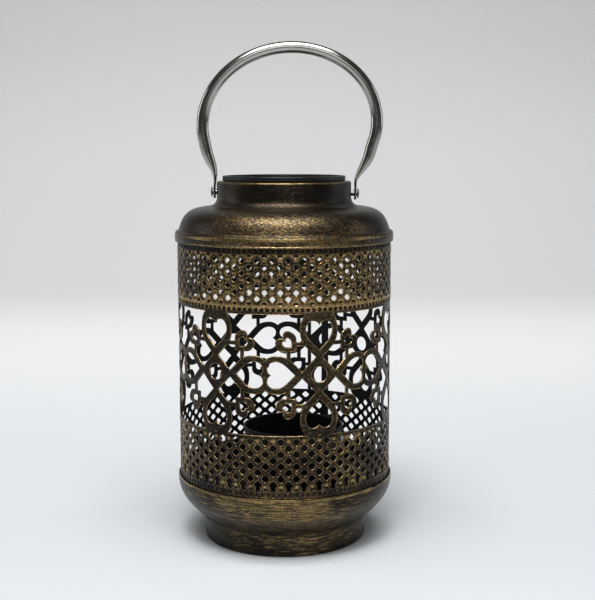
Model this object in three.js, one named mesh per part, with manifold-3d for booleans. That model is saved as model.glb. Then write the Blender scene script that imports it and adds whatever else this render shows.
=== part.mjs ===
// A pierced sheet-metal tealight holder in the shape of a small round lantern.
// A pressed dish with a foot carries a rolled, pierced sleeve. A spun dome with an open neck closes
// the sleeve, a black liner sits in the neck, and a tube bail swings on two rivets through the neck.
// A loose black candle cup stands on the floor of the dish.
// Units are millimetres, +Z is up, and the origin is the middle of the foot's underside.

import * as THREE from 'three';
import { mergeVertices } from 'three/addons/utils/BufferGeometryUtils.js';
import Module from 'manifold-3d';

const wasm = await Module();
wasm.setup();

// ---- Driving dimensions ----

const SHEET = 0.5; // sheet steel thickness of every pressed piece
const ROUND = 40; // facets around every turned piece, so that nested pieces stay parallel

const FOOT_RADIUS = 38.5;
const FOOT_CORNER = 0.9;
const CREASE_HEIGHT = 9.8; // where the foot's wall turns out into the bowl
const BOWL_RADIUS = 50.8;
const BOWL_LIP_HEIGHT = 27.4; // where the bowl's wall turns upright
const BOWL_RIM_HEIGHT = 30.5;
const BOWL_SWEEP = [41.4, 14.2, 49.9, 18.8]; // radius and height of the two points the wall bends towards

const SLEEVE_RADIUS = 49.9;
const SLEEVE_BOTTOM = 27.9;
const SCROLL_BOTTOM = 59.2; // top edge of the lower lattice band
const SCROLL_TOP = 112.7; // bottom edge of the upper lattice band
const SLEEVE_TOP = 144.2;

const BEAD_BOTTOM = 141;
const BEAD_RADIUS = 51.3;
const BEAD_TOP = 145.6;
const BEAD_BULGE = 0.3; // the bead's edges lie this far inside, and its middle this far outside
const THROAT = [49.6, 146]; // radius and height of the groove between bead and shoulder
const SHOULDER_SWEEP = [48, 149.8, 47.6, 156.2, 37, 156.8]; // the shoulder's bend and its inner end
const SHOULDER_HEIGHT = 157.2;
const FILLET_HEIGHT = 4.4; // between shoulder and neck
const NECK_RADIUS = 31.3;
const NECK_TOP = 168.7;
const NECK_CORNER = 1.1;
const NECK_MOUTH_RADIUS = 27.7; // inner edge of the neck's turned-in flange

const LINER_RADIUS = 27.3;
const LINER_RIM_RADIUS = 28.7;
const LINER_BOTTOM = 161;
const LINER_TOP = 171.2;

const CUP_RADIUS = 24;
const CUP_TOP = 52.7;
const CUP_OFFSET = 4; // the loose cup stands off the centre line
const CUP_RIM_ROLL = 0.7;

const GAP = 0.3; // clearance left between pieces that touch

const PIVOT_HEIGHT = 163.3;
const PIVOT_TILT = THREE.MathUtils.degToRad(0.8); // the left rivet sits a little higher
const TUBE_RADIUS = 2.85;
const BAIL_CENTRE_HEIGHT = 195 - PIVOT_HEIGHT; // above the pivot, as all the bail's heights are
const BAIL_HALF_WIDTH = 40.1;
const BAIL_HALF_HEIGHT = 34.95;
const BAIL_SHIFT = 2; // the bail is bent a little over to the right
const BAIL_SKEW = 0.045;
const LEFT_TAB_X = -32.4;
const RIGHT_TAB_X = 33.3;
const TAB_DROP = 2.9; // how far the flattened ends reach below the rivets

// The centre line of each end, from the tab up into the arch, as x and height.
const LEFT_END = [
  [LEFT_TAB_X, -TAB_DROP], [LEFT_TAB_X, 3], [-32.2, 5.8], [-32.35, 8.2], [-33, 10.9], [-34.3, 13.9],
  [-35.8, 17.5],
];
const RIGHT_END = [
  [RIGHT_TAB_X, -TAB_DROP], [RIGHT_TAB_X, 3], [33.5, 6.2], [34.5, 8.4], [36.2, 11.3], [37.5, 13.5],
  [38.9, 16.2],
];
// Half the flattened tube's thickness and half its width, by height.
const TAB_HALF_THICKNESS = 0.6;
const HALF_THICKNESS = [
  [3, TAB_HALF_THICKNESS], [5, 0.7], [6.5, 0.85], [8.2, 1.2], [10.9, 1.75], [13.9, 2.35], [17.5, 2.7],
  [21, TUBE_RADIUS],
];
const TAB_HALF_WIDTH = 3.1;
const HALF_WIDTH = [[6, TAB_HALF_WIDTH], [12, 2.95], [18, TUBE_RADIUS]];

const RIVET_SHANK_RADIUS = 1.2;
const RIVET_HOLE_RADIUS = 1.5;
const RIVET_HEAD_RADIUS = 2.4;
const RIVET_HEAD_HEIGHT = 1;

// ---- Scroll pattern, in the flat sheet, measured from the middle of a motif ----

const MOTIFS = 6;
const MOTIF_PITCH = 48.2; // along the sheet
const FIRST_MOTIF = THREE.MathUtils.degToRad(-148.3);
const DIAMOND_REACH = 9.3;
const EYE_RADIUS = 3.5;
const STEM_HALF_WIDTH = 0.9;
const STEM_PLACE = [13.7, 6.4, 10.4]; // distance along a heart, then the stem's two ends off its axis
const KNOT = [2.7, 2.2];
const MOTIF_HEIGHT = 86.15; // height of every motif's middle
const CUT_SHIFT = 1.5; // the cut motif beside the seam sits this much further round
const LAP_STRIPS = [[133.35, 136.9], [142.8, 144.6]]; // where the sheet's ends lap, along the sheet
const LAP_THICKNESS = 0.8;
const LAP_INSET = -0.2; // the lap's inner face lies this far inside the scroll's
const SCROLL_SHEET = 0.34;
const SCROLL_RADIUS = 49.4; // the scroll's inner face
const LONGEST_CHORD = 14; // so that the rolled scroll stays round

// A heart lies with its tip towards the motif's middle. The values are its tip, the length of its
// straight 45 degree flanks, where it is widest, its half width, its lobes' end and their middle
// off the axis, and its cusp.
const SIDE_HEART = {
  outer: [6.2, 5.6, 19.6, 8.5, 25.2, 4.2, 23.8],
  inner: [10.9, 3.2, 19.3, 5.9, 23.1, 3.1, 21.5],
};
const UPRIGHT_HEART = {
  outer: [6.2, 5.6, 19.8, 8.7, 27.6, 4.4, 26.8],
  inner: [10.9, 3.2, 19.6, 6.1, 23.7, 3.2, 21.9],
};
const SMALL_HEART = {
  outer: [14.6, 1.6, 20.4, 4.9, 24.5, 2.6, 22.8],
  inner: [17.6, 0.7, 20.4, 2, 21.9, 1.1, 20.9],
};

// ---- Helpers ----

// The signed volume tells which way a closed geometry's faces point.
function signedVolume(vertices, triangles) {
  let volume = 0;
  const a = new THREE.Vector3();
  const b = new THREE.Vector3();
  const c = new THREE.Vector3();
  for (let i = 0; i < triangles.length; i += 3) {
    a.fromArray(vertices, 3 * triangles[i]);
    b.fromArray(vertices, 3 * triangles[i + 1]);
    c.fromArray(vertices, 3 * triangles[i + 2]);
    volume += a.dot(b.cross(c)) / 6;
  }
  return volume;
}

// Turns a closed three.js geometry into a solid with its faces out.
function toSolid(geometry) {
  geometry.deleteAttribute('normal');
  geometry.deleteAttribute('uv');
  const merged = mergeVertices(geometry, 1e-4);
  const vertProperties = new Float32Array(merged.attributes.position.array);
  const triVerts = new Uint32Array(merged.index.array);
  const kept = [];
  for (let i = 0; i < triVerts.length; i += 3) {
    const [a, b, c] = triVerts.slice(i, i + 3);
    if (a !== b && b !== c && c !== a) kept.push(a, b, c);
  }
  if (signedVolume(vertProperties, kept) < 0) kept.reverse();
  const mesh = new wasm.Mesh({ numProp: 3, vertProperties, triVerts: new Uint32Array(kept) });
  mesh.merge();
  return new wasm.Manifold(mesh);
}

function toGeometry(solid) {
  const { vertProperties, triVerts, numProp } = solid.getMesh();
  const positions = new Float32Array((vertProperties.length / numProp) * 3);
  for (let i = 0; i < positions.length / 3; i += 1) {
    for (let k = 0; k < 3; k += 1) positions[3 * i + k] = vertProperties[numProp * i + k];
  }
  const geometry = new THREE.BufferGeometry();
  geometry.setAttribute('position', new THREE.BufferAttribute(positions, 3));
  geometry.setIndex(new THREE.BufferAttribute(new Uint32Array(triVerts), 1));
  geometry.computeVertexNormals();
  return geometry;
}

function join(solids) {
  return solids.reduce((sum, solid) => sum.add(solid));
}

// Drops points that repeat the one before.
function distinct(points) {
  return points.filter((point, i) => i === 0 || point.distanceTo(points[i - 1]) > 1e-3);
}

// Gives a line thickness: the returned profile runs along it and back at the given distance to its left.
function sheetProfile(line, thickness) {
  const back = line.map((point, i) => {
    const before = line[Math.max(i - 1, 0)];
    const after = line[Math.min(i + 1, line.length - 1)];
    const along = after.clone().sub(before).normalize();
    const onAxis = point.x < 1e-6;
    const shifted = new THREE.Vector2(point.x - along.y * thickness, point.y + along.x * thickness);
    return onAxis ? new THREE.Vector2(0, shifted.y) : shifted;
  });
  return [...line, ...back.reverse()];
}

// Turns a closed profile of radius and height about +Z.
function turned(profile, sides = ROUND) {
  const closed = profile[0].x < 1e-6 ? profile : [...profile, profile[0].clone()];
  const geometry = new THREE.LatheGeometry(closed, sides);
  geometry.rotateX(Math.PI / 2);
  return toSolid(geometry);
}

function mesh(name, solid, colour, roughness, metalness) {
  const material = new THREE.MeshStandardMaterial({ color: colour, roughness, metalness });
  const piece = new THREE.Mesh(toGeometry(solid), material);
  piece.name = name;
  return piece;
}

// ---- Base dish: a closed foot, a crease and a bowl, pressed from one sheet ----

function makeBase() {
  const line = new THREE.Path();
  line.moveTo(0, 0);
  line.lineTo(FOOT_RADIUS - FOOT_CORNER, 0);
  line.quadraticCurveTo(FOOT_RADIUS, 0, FOOT_RADIUS, FOOT_CORNER);
  line.lineTo(FOOT_RADIUS, CREASE_HEIGHT);
  line.bezierCurveTo(...BOWL_SWEEP, BOWL_RADIUS, BOWL_LIP_HEIGHT);
  line.lineTo(BOWL_RADIUS, BOWL_RIM_HEIGHT);
  return turned(sheetProfile(distinct(line.getPoints(5)), SHEET));
}

// ---- Dome: a beaded rim, a shoulder, a neck and a turned-in flange, spun from one sheet ----

function makeDome(rivetHoles) {
  const line = new THREE.Path();
  const beadMiddle = (BEAD_BOTTOM + BEAD_TOP) / 2;
  line.moveTo(BEAD_RADIUS - BEAD_BULGE, BEAD_BOTTOM);
  line.quadraticCurveTo(BEAD_RADIUS + BEAD_BULGE, beadMiddle, BEAD_RADIUS - 1, BEAD_TOP);
  line.lineTo(...THROAT);
  line.bezierCurveTo(...SHOULDER_SWEEP);
  line.quadraticCurveTo(
    NECK_RADIUS, SHOULDER_HEIGHT, NECK_RADIUS, SHOULDER_HEIGHT + FILLET_HEIGHT,
  );
  line.lineTo(NECK_RADIUS, NECK_TOP - NECK_CORNER);
  line.quadraticCurveTo(NECK_RADIUS, NECK_TOP, NECK_RADIUS - NECK_CORNER, NECK_TOP);
  line.lineTo(NECK_MOUTH_RADIUS, NECK_TOP);
  const shell = turned(sheetProfile(distinct(line.getPoints(4)), SHEET));
  return rivetHoles.reduce((solid, hole) => solid.subtract(hole), shell);
}

// ---- Neck liner: a short black tube whose rim rests on the neck's flange ----

function makeLiner() {
  const rimBottom = NECK_TOP + GAP;
  const rim = 0.5;
  return turned([
    new THREE.Vector2(LINER_RADIUS, LINER_BOTTOM),
    new THREE.Vector2(LINER_RADIUS, rimBottom),
    new THREE.Vector2(LINER_RIM_RADIUS - rim, rimBottom),
    new THREE.Vector2(LINER_RIM_RADIUS, rimBottom + rim),
    new THREE.Vector2(LINER_RIM_RADIUS, LINER_TOP - rim),
    new THREE.Vector2(LINER_RIM_RADIUS - rim, LINER_TOP),
    new THREE.Vector2(LINER_RADIUS - SHEET, LINER_TOP),
    new THREE.Vector2(LINER_RADIUS - SHEET, LINER_BOTTOM),
  ]);
}

// ---- Candle cup: straight sides, a flat floor and a small rolled rim ----

function makeCup() {
  const bottom = SHEET + GAP;
  const wall = CUP_RADIUS - CUP_RIM_ROLL;
  const line = new THREE.Path();
  line.moveTo(0, bottom);
  line.lineTo(wall - 1, bottom);
  line.lineTo(wall, bottom + 1);
  line.lineTo(wall, CUP_TOP - 2 * CUP_RIM_ROLL);
  line.absarc(wall, CUP_TOP - CUP_RIM_ROLL, CUP_RIM_ROLL, -Math.PI / 2, Math.PI / 2, false);
  line.lineTo(wall - SHEET, CUP_TOP);
  line.lineTo(wall - SHEET, bottom + 1 + SHEET / 2);
  line.lineTo(wall - 1 - SHEET / 2, bottom + SHEET);
  line.lineTo(0, bottom + SHEET);
  return turned(distinct(line.getPoints(2)), 32).translate([CUP_OFFSET, 0, 0]);
}

// ---- Sleeve: two bands joined by a scroll of hearts, rolled from one flat sheet ----

function heartOutline([tip, flank, widest, halfWidth, end, lobe, cusp], pieces) {
  const half = new THREE.Path();
  half.moveTo(tip, 0);
  half.lineTo(tip + flank, flank);
  const ahead = 0.35 * (widest - tip - flank);
  half.bezierCurveTo(
    tip + flank + ahead, flank + ahead, widest - ahead, halfWidth, widest, halfWidth,
  );
  const rise = 0.55 * (end - widest);
  half.bezierCurveTo(widest + rise, halfWidth, end, lobe + 0.5 * (halfWidth - lobe), end, lobe);
  half.quadraticCurveTo(end, 0.3 * lobe, cusp, 0);
  const upper = distinct(half.getPoints(pieces));
  const lower = upper.slice(1, -1).map((p) => new THREE.Vector2(p.x, -p.y));
  return [upper[0], ...lower, ...upper.slice(1).reverse()];
}

function rotated(points, angle) {
  const origin = new THREE.Vector2();
  return points.map((p) => p.clone().rotateAround(origin, angle));
}

// A flat plate with holes, as thick as the scroll unless a depth is given.
function plate(outline, holes = [], depth = SCROLL_SHEET) {
  const shape = new THREE.Shape(outline);
  shape.holes = holes.map((hole) => new THREE.Path(hole));
  return toSolid(new THREE.ExtrudeGeometry(shape, { depth, bevelEnabled: false }));
}

// Rolls a flat piece round the sleeve. x runs round it from the front (-Y) towards +X, and y runs up
// from the motifs' middle. The scroll is a little thinner than the bands, so that its ends run
// into them.
function rolled(flat) {
  const geometry = toGeometry(flat.asOriginal().refineToLength(LONGEST_CHORD));
  const position = geometry.attributes.position;
  for (let i = 0; i < position.count; i += 1) {
    const turn = position.getX(i) / SLEEVE_RADIUS;
    const radius = SCROLL_RADIUS + position.getZ(i);
    const height = MOTIF_HEIGHT + position.getY(i);
    position.setXYZ(i, radius * Math.sin(turn), -radius * Math.cos(turn), height);
  }
  return toSolid(geometry);
}

function rectangle(x0, y0, x1, y1) {
  return [[x0, y0], [x1, y0], [x1, y1], [x0, y1]].map(([x, y]) => new THREE.Vector2(x, y));
}

function diamond(x, halfWidth, halfHeight) {
  const corners = [[x - halfWidth, 0], [x, -halfHeight], [x + halfWidth, 0], [x, halfHeight]];
  return corners.map(([u, v]) => new THREE.Vector2(u, v));
}

// A small heart and its two stems, on the diagonal at the given angle from the motif's middle.
function smallHeart(diagonal) {
  const [along, from, to] = STEM_PLACE;
  const stem = rectangle(along - STEM_HALF_WIDTH, from, along + STEM_HALF_WIDTH, to);
  const mirrored = stem.map((p) => new THREE.Vector2(p.y, p.x)).reverse();
  const outline = rotated(heartOutline(SMALL_HEART.outer, 1), diagonal);
  const hole = rotated(heartOutline(SMALL_HEART.inner, 1), diagonal);
  const stems = [stem, mirrored].map((side) => plate(rotated(side, diagonal - Math.PI / 4)));
  return [plate(outline, [hole]), ...stems];
}

function bigHeart({ outer, inner }, direction) {
  const outline = rotated(heartOutline(outer, 2), direction);
  return plate(outline, [rotated(heartOutline(inner, 2), direction)]);
}

function knot() {
  return plate(diamond(MOTIF_PITCH / 2, ...KNOT));
}

function motif() {
  const eye = new THREE.Path().absarc(0, 0, EYE_RADIUS, 0, 2 * Math.PI, false).getPoints(5);
  const solids = [plate(diamond(0, DIAMOND_REACH, DIAMOND_REACH), [eye.slice(0, -1)]), knot()];
  for (let quarter = 0; quarter < 4; quarter += 1) {
    const direction = (quarter * Math.PI) / 2;
    const heart = quarter % 2 === 0 ? SIDE_HEART : UPRIGHT_HEART;
    solids.push(bigHeart(heart, direction), ...smallHeart(direction + Math.PI / 4));
  }
  return join(solids);
}

// The seam cuts one motif through its middle. Its far half is left, and the last whole motif ends
// under the lap.
function makeScroll() {
  const first = FIRST_MOTIF * SLEEVE_RADIUS;
  const whole = motif();
  const half = whole.trimByPlane([1, 0, 0], 0);
  const last = whole.trimByPlane([-1, 0, 0], 1 - MOTIF_PITCH / 2);
  const solids = [half.translate([first - MOTIF_PITCH - CUT_SHIFT, 0, 0])];
  for (let i = 0; i < MOTIFS; i += 1) {
    const solid = i === MOTIFS - 1 ? last : whole;
    solids.push(solid.translate([first + i * MOTIF_PITCH, 0, 0]));
  }
  return rolled(join(solids));
}

// One of the plain upright strips of double thickness beside the cut motif.
function lapStrip([from, to]) {
  const overlap = 0.5; // into each band
  const y0 = SCROLL_BOTTOM - overlap - MOTIF_HEIGHT;
  const y1 = SCROLL_TOP + overlap - MOTIF_HEIGHT;
  const flat = plate(rectangle(from, y0, to, y1), [], LAP_THICKNESS);
  return rolled(flat.translate([0, 0, LAP_INSET]));
}

function band(bottom, top) {
  const inner = SLEEVE_RADIUS - SHEET;
  const corners = [[SLEEVE_RADIUS, bottom], [SLEEVE_RADIUS, top], [inner, top], [inner, bottom]];
  return turned(corners.map(([r, z]) => new THREE.Vector2(r, z)));
}

function makeSleeve() {
  const bands = [band(SLEEVE_BOTTOM, SCROLL_BOTTOM), band(SCROLL_TOP, SLEEVE_TOP)];
  return join([...bands, makeScroll(), ...LAP_STRIPS.map(lapStrip)]);
}

// ---- Bail: a round tube whose ends are flattened and pierced for the rivets ----

// The value at a height, between the rows of a table of height and value.
function between(table, height) {
  const above = table.findIndex(([level]) => level > height);
  if (above === 0) return table[0][1];
  if (above < 0) return table[table.length - 1][1];
  const [low, from] = table[above - 1];
  const [high, to] = table[above];
  return THREE.MathUtils.mapLinear(height, low, high, from, to);
}

// The tube's centre line, in the bail's own plane: x across, z up from the pivot.
function bailLine() {
  const arch = [];
  const lowest = THREE.MathUtils.degToRad(196);
  const steps = 20;
  for (let i = 0; i <= steps; i += 1) {
    const turn = lowest - (i / steps) * (2 * lowest - Math.PI);
    const z = BAIL_HALF_HEIGHT * Math.sin(turn);
    const x = BAIL_SHIFT + BAIL_SKEW * z + BAIL_HALF_WIDTH * Math.cos(turn);
    arch.push([x, BAIL_CENTRE_HEIGHT + z]);
  }
  const points = [...LEFT_END, ...arch, ...[...RIGHT_END].reverse()];
  const spline = new THREE.CatmullRomCurve3(points.map(([x, z]) => new THREE.Vector3(x, 0, z)));
  return spline.getPoints(2 * (points.length - 1));
}

// One section across the tube. The tab's end is round about the rivet.
function bailSection(point, along, sides) {
  const thick = between(HALF_THICKNESS, point.z);
  const flat = between(HALF_WIDTH, point.z);
  const wide = point.z < 0 ? Math.sqrt(flat ** 2 - point.z ** 2) : flat;
  const section = [];
  for (let i = 0; i < sides; i += 1) {
    const turn = (2 * Math.PI * i) / sides;
    const across = thick * Math.cos(turn);
    section.push(point.x - along.z * across, wide * Math.sin(turn), point.z + along.x * across);
  }
  return section;
}

function makeBail(rivetHoles) {
  const sides = 20;
  const line = bailLine();
  const last = line.length - 1;
  const positions = line.flatMap((point, i) => {
    const along = line[Math.min(i + 1, last)].clone().sub(line[Math.max(i - 1, 0)]).normalize();
    return bailSection(point, along, sides);
  });
  const triangles = [];
  for (let i = 0; i < last; i += 1) {
    for (let k = 0; k < sides; k += 1) {
      const a = i * sides + k;
      const b = i * sides + ((k + 1) % sides);
      triangles.push(a, b, b + sides, a, b + sides, a + sides);
    }
  }
  for (let k = 1; k < sides - 1; k += 1) {
    const end = last * sides;
    triangles.push(0, k + 1, k, end, end + k, end + k + 1);
  }
  const geometry = new THREE.BufferGeometry();
  geometry.setAttribute('position', new THREE.Float32BufferAttribute(positions, 3));
  geometry.setIndex(triangles);
  const tube = onPivot(toSolid(geometry));
  return rivetHoles.reduce((solid, hole) => solid.subtract(hole), tube);
}

// Moves a solid from the bail's own frame to its place on the neck.
function onPivot(solid) {
  const tilt = THREE.MathUtils.radToDeg(PIVOT_TILT);
  return solid.rotate([0, tilt, 0]).translate([0, 0, PIVOT_HEIGHT]);
}

// ---- Rivets: a domed head outside the bail, a shank, and a flat head inside the neck ----

// A profile of radius and distance from the middle of the neck, turned about the pivot's axis.
function onPivotAxis(profile, side, sides) {
  const solid = turned(profile, sides).rotate([0, 90 * side, 0]);
  return onPivot(solid);
}

function rivetHole(side) {
  const corners = [[0, 20], [RIVET_HOLE_RADIUS, 20], [RIVET_HOLE_RADIUS, 50], [0, 50]];
  return onPivotAxis(corners.map(([r, x]) => new THREE.Vector2(r, x)), side, 16);
}

function makeRivet(side) {
  const tab = Math.abs(side < 0 ? LEFT_TAB_X : RIGHT_TAB_X);
  const head = tab + TAB_HALF_THICKNESS + GAP;
  const inside = NECK_RADIUS - SHEET - GAP - 0.1;
  const line = new THREE.Path();
  line.moveTo(0, inside - RIVET_HEAD_HEIGHT);
  line.lineTo(RIVET_HEAD_RADIUS, inside - RIVET_HEAD_HEIGHT);
  line.lineTo(RIVET_HEAD_RADIUS, inside);
  line.lineTo(RIVET_SHANK_RADIUS, inside);
  line.lineTo(RIVET_SHANK_RADIUS, head);
  line.lineTo(RIVET_HEAD_RADIUS, head);
  line.quadraticCurveTo(
    RIVET_HEAD_RADIUS, head + RIVET_HEAD_HEIGHT, 0, head + RIVET_HEAD_HEIGHT,
  );
  return onPivotAxis(line.getPoints(4), side, 16);
}

// ---- The assembly ----

const LEFT = -1;
const RIGHT = 1;
const AGED_IRON = 0x2a2118;
const BLACK = 0x0b0c0e;
const SATIN_STEEL = 0xb4b2ab;

const holes = [rivetHole(LEFT), rivetHole(RIGHT)];
const holder = new THREE.Group();
holder.add(mesh('base_dish', makeBase(), AGED_IRON, 0.5, 0.6));
holder.add(mesh('pierced_sleeve', makeSleeve(), AGED_IRON, 0.5, 0.6));
holder.add(mesh('dome_and_neck', makeDome(holes), AGED_IRON, 0.5, 0.6));
holder.add(mesh('neck_liner', makeLiner(), BLACK, 0.35, 0.2));
holder.add(mesh('candle_cup', makeCup(), BLACK, 0.4, 0.2));
holder.add(mesh('bail_handle', makeBail(holes), SATIN_STEEL, 0.3, 1));
holder.add(mesh('rivet_left', makeRivet(LEFT), SATIN_STEEL, 0.4, 1));
holder.add(mesh('rivet_right', makeRivet(RIGHT), SATIN_STEEL, 0.4, 1));

export default holder;
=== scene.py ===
"""Looks for the pierced-metal tealight holder: every piece at its CAD place, in metres."""

import math

import bpy
import numpy as np
from mathutils import Euler, Matrix, Vector, kdtree
from mathutils.geometry import delaunay_2d_cdt


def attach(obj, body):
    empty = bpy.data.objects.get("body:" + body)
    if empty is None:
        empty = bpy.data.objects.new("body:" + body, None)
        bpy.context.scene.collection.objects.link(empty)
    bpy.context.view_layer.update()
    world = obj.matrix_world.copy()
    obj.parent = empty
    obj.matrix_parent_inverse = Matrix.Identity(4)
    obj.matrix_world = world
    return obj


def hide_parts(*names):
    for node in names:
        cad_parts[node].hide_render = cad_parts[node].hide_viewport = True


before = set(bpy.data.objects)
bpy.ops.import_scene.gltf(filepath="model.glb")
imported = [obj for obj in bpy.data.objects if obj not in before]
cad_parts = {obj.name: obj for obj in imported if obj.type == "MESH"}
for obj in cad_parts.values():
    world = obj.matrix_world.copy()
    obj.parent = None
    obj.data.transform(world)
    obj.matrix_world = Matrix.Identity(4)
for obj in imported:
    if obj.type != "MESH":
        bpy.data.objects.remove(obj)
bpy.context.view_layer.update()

MM = 0.001
ROUND = 192  # facets round every turned piece

# ---- Dimensions in millimetres, in the CAD's own frame ----

SHEET = 0.5
FOOT_RADIUS = 38.5
BOWL_RADIUS = 50.8
SLEEVE_RADIUS = 49.9
SLEEVE_INSIDE = 49.4
SLEEVE_BOTTOM = 27.9
SCROLL_BOTTOM = 59.2
SCROLL_TOP = 112.7
SLEEVE_TOP = 144.2
MIDDLE = 86.15  # height of every motif's middle
NECK_RADIUS = 31.3
NECK_TOP = 168.7
LINER_RADIUS = 27.3
LINER_RIM_RADIUS = 28.7
LINER_TOP = 171.2
CUP_RADIUS = 24
CUP_TOP = 52.7
CUP_OFFSET = 4
CUP_SIDES = 128
PIVOT_HEIGHT = 163.3
PIVOT_TILT = math.radians(0.8)
TUBE_RADIUS = 2.8
LEFT_TAB_X = -32.4
RIGHT_TAB_X = 33.3
TAB_HALF_THICKNESS = 0.6
TAB_HALF_WIDTH = 3.1
TAB_DROP = 2.9
RIVET_HOLE_RADIUS = 1.5
BORE_REACH = 50  # how far the bores' cutter runs to either side
RIVET_SHANK_RADIUS = 1.2
RIVET_HEAD_RADIUS = 2.4
RIVET_HEAD_HEIGHT = 1
RIVET_TAB_GAP = 0.3  # from a tab to its rivet's outer head
RIVET_WALL_GAP = 0.4  # from the neck's wall to a rivet's inner head

# The bail's centre line, as x and height over the pivot: each flattened end, and the arch between.
LEFT_END = [(LEFT_TAB_X, -TAB_DROP), (LEFT_TAB_X, 3), (-32.2, 5.8), (-32.35, 8.2), (-33, 10.9)]
LEFT_END += [(-34.3, 13.9), (-35.8, 17.5)]
RIGHT_END = [(RIGHT_TAB_X, -TAB_DROP), (RIGHT_TAB_X, 3), (33.5, 6.2), (34.5, 8.4), (36.2, 11.3)]
RIGHT_END += [(37.5, 13.5), (38.9, 16.2)]
ARCH_START = math.radians(196)  # where the arch begins on the left, counter-clockwise from +X
ARCH_X = 2
ARCH_HEIGHT = 195  # over the floor
ARCH_LEAN = 0.045  # x for each millimetre of height over the arch's middle
ARCH_HALF_WIDTH = 40.1
ARCH_HALF_HEIGHT = 34.9
RIGHT_BULGE = 0.6  # how much further from the middle the arch's right side is
THICKNESS_HEIGHTS = (3, 5, 6.5, 8.2, 10.9, 13.9, 17.5, 21)
HALF_THICKNESS = (TAB_HALF_THICKNESS, 0.7, 0.85, 1.2, 1.75, 2.35, 2.68, TUBE_RADIUS)

MOTIFS = 6
PITCH = 48.2
HALF = PITCH / 2
FIRST_MOTIF = math.radians(-148.3) * SLEEVE_RADIUS
CUT_SHIFT = 1.5  # how much wider the cut half motif beside the seam is

# Each lap strip's two sides along the sheet, and its lower and upper end.
LAPS = ((133.3, 136.9, 31.4, 140.4), (142.75, 144.5, 58.4, 113.5))
LAP_INSIDE = 49.3
LAP_OUTSIDE = 50.22

# A heart is its tip, flank, widest place, half-width there, far end, lobe and cusp, all from the
# motif's middle. Each pair is a plate's outline and its hole's.
SIDE_HEART = ((6.2, 5.6, 19.6, 8.5, 25.2, 4.2, 23.8), (10.9, 3.2, 19.3, 5.9, 23.1, 3.1, 21.5))
UPRIGHT_HEART = ((6.2, 5.6, 19.8, 8.7, 27.6, 4.4, 26.8), (10.9, 3.2, 19.6, 6.1, 23.7, 3.2, 21.9))
SMALL_HEART = ((14.6, 1.6, 20.4, 4.9, 24.5, 2.6, 22.8), (17.6, 0.7, 20.4, 2.0, 21.9, 1.1, 20.9))

CELL = PITCH / 7  # from one lattice hole to the next in its row
ROW = 2.77  # from one row of holes to the next
HOLE = (1.88, 1.74)  # half a hole's width and height
UPPER_HOLE = (1.5, 1.38)
HOLE_CORNER = 0.62
SLOT_HALF_WIDTH = 0.95
SLOT_DEPTH = 2.75  # from the middle of a keyhole to its slot's foot
LOWER_ROW = 37.0  # middle of the lowest row of the lower band
LOWER_ROWS = 8
UPPER_ROW = 136.0  # middle of the highest row of the upper band
UPPER_ROWS = 7
TICK = PITCH / 19  # from one pressed tick to the next
TICK_HALF_WIDTH = 0.75
TICK_ROWS = ((31.35, 33.55), (139.35, 141.3), (113.75, 115.45))
ARCH_PIT_HALF_WIDTH = 0.95
ARCH_PIT_ROWS = ((34.3, 35.5), (137.45, 138.65), (116.75, 117.95))
PIT_SLOPE = 0.22  # how far a pit's floor is inside its outline
PIT_LEVEL = -0.32
PLAIN_BELOW = 34.2  # the sleeve's plain edges under the dish's lip and the dome's bead
PLAIN_ABOVE = 138.8

# Across the metal, by distance from its nearest edge: the height over the sleeve's radius, and how
# much gold is rubbed on. The scroll has raised rims and the lattice's strands are crowned.
SCROLL_LEVEL = ((0, 0.1, 0.22, 0.42, 0.8, 1.5), (-0.12, 0.07, 0.07, -0.07, -0.1, -0.06))
WOVEN_LEVEL = ((0, 0.18, 0.42, 0.8, 1.2, 1.7), (-0.4, -0.12, 0.0, 0.05, 0.16, 0.24))
SCROLL_WEAR = ((0, 0.08, 0.24, 0.36, 0.6, 1.5), (0.5, 0.95, 0.9, 0.35, 0.1, 0.15))
WOVEN_WEAR = ((0, 0.14, 0.3, 0.5, 0.9, 1.15, 1.6), (0.2, 0.8, 0.75, 0.25, 0.3, 0.75, 1.0))

# ---- Mesh helpers ----


def link(name, vertices, faces, material, smooth_below=35, attributes=None):
    """A mesh object from vertices in millimetres."""
    mesh = bpy.data.meshes.new(name)
    mesh.from_pydata((np.asarray(vertices, float) * MM).tolist(), [], faces)
    for key, values in (attributes or {}).items():
        layer = mesh.attributes.new(key, "FLOAT", "POINT")
        layer.data.foreach_set("value", np.asarray(values, np.float32))
    mesh.materials.append(material)
    mesh.validate()
    mesh.shade_smooth()
    mesh.set_sharp_from_angle(angle=math.radians(smooth_below))
    piece = bpy.data.objects.new(name, mesh)
    bpy.context.scene.collection.objects.link(piece)
    return piece


def bezier(points, count):
    """Points on a quadratic or cubic curve, without its first point."""
    p = [np.array(q, float) for q in points]
    t = np.linspace(0, 1, count + 1)[1:, None]
    if len(p) == 3:
        return ((1 - t) ** 2 * p[0] + 2 * t * (1 - t) * p[1] + t**2 * p[2]).tolist()
    return (
        (1 - t) ** 3 * p[0] + 3 * t * (1 - t) ** 2 * p[1] + 3 * t**2 * (1 - t) * p[2] + t**3 * p[3]
    ).tolist()


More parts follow.
